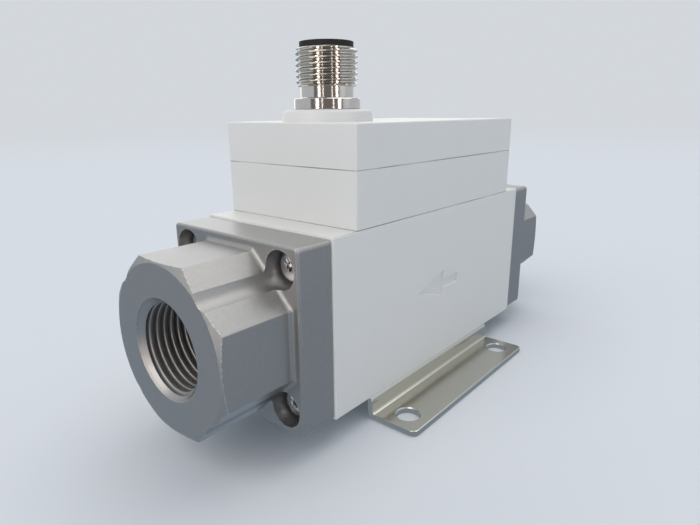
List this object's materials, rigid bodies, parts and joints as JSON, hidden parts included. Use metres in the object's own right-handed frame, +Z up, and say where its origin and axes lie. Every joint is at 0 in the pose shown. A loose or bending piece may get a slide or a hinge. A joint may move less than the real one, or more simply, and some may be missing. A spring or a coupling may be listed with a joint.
{
  "type": "flow switch",
  "caption": "Inline flow switch: white moulded body between grey die-cast pipe ports, electronics housing with a round plug connector on top, plated foot bracket underneath.",
  "frame": {"origin": "underside of the bracket's feet, at the middle of the whole part's length and width", "axes": "+X along the flow axis towards the inlet (the flow runs to -X), -Y is the side with the arrow, +Z up"},
  "size_m": [0.1146, 0.0524, 0.0705],
  "materials": {
    "body_resin": "moulded, very fine grain",
    "port_metal": "die-cast, grey, finely blasted, satin",
    "bracket_steel": "plated sheet, slightly warm",
    "screw_steel": "bright plated",
    "connector_metal": "nickel-plated",
    "insert_resin": "black moulding",
    "contact_metal": "gold-plated",
    "seal_rubber": "matt black",
    "gasket_rubber": "matt dark grey",
    "board_laminate": "green solder mask",
    "chip_resin": "black packages",
    "sensor_resin": "filled sensor resin",
    "sensor_ceramic": "piezo ceramic",
    "stainless": "stainless"
  },
  "bodies": {
    "root": {"flow_body": "body_resin", "outlet_port": "port_metal", "inlet_port": "port_metal", "outlet_port_seal": "seal_rubber", "inlet_port_seal": "seal_rubber", "outlet_port_screws": "screw_steel", "inlet_port_screws": "screw_steel", "flow_straightener": "stainless", "mounting_bracket": "bracket_steel", "bracket_screws": "screw_steel", "case_gasket": "gasket_rubber", "electronics_case": "body_resin", "case_screws": "screw_steel", "cover_gasket": "gasket_rubber", "top_cover": "body_resin", "connector_shell": "connector_metal", "connector_nut": "connector_metal", "connector_seal": "seal_rubber", "connector_insert": "insert_resin", "connector_pins": "contact_metal", "connector_board": "board_laminate", "link_header": "chip_resin", "link_pins": "contact_metal", "main_board": "board_laminate", "board_chips": "chip_resin", "board_screws": "screw_steel", "sensor_holder": "sensor_resin", "sensor_seal": "seal_rubber", "sensor_element": "sensor_ceramic", "sensor_leads": "contact_metal", "sensor_clamp": "stainless", "sensor_screws": "screw_steel"}
  },
  "joints": []
}
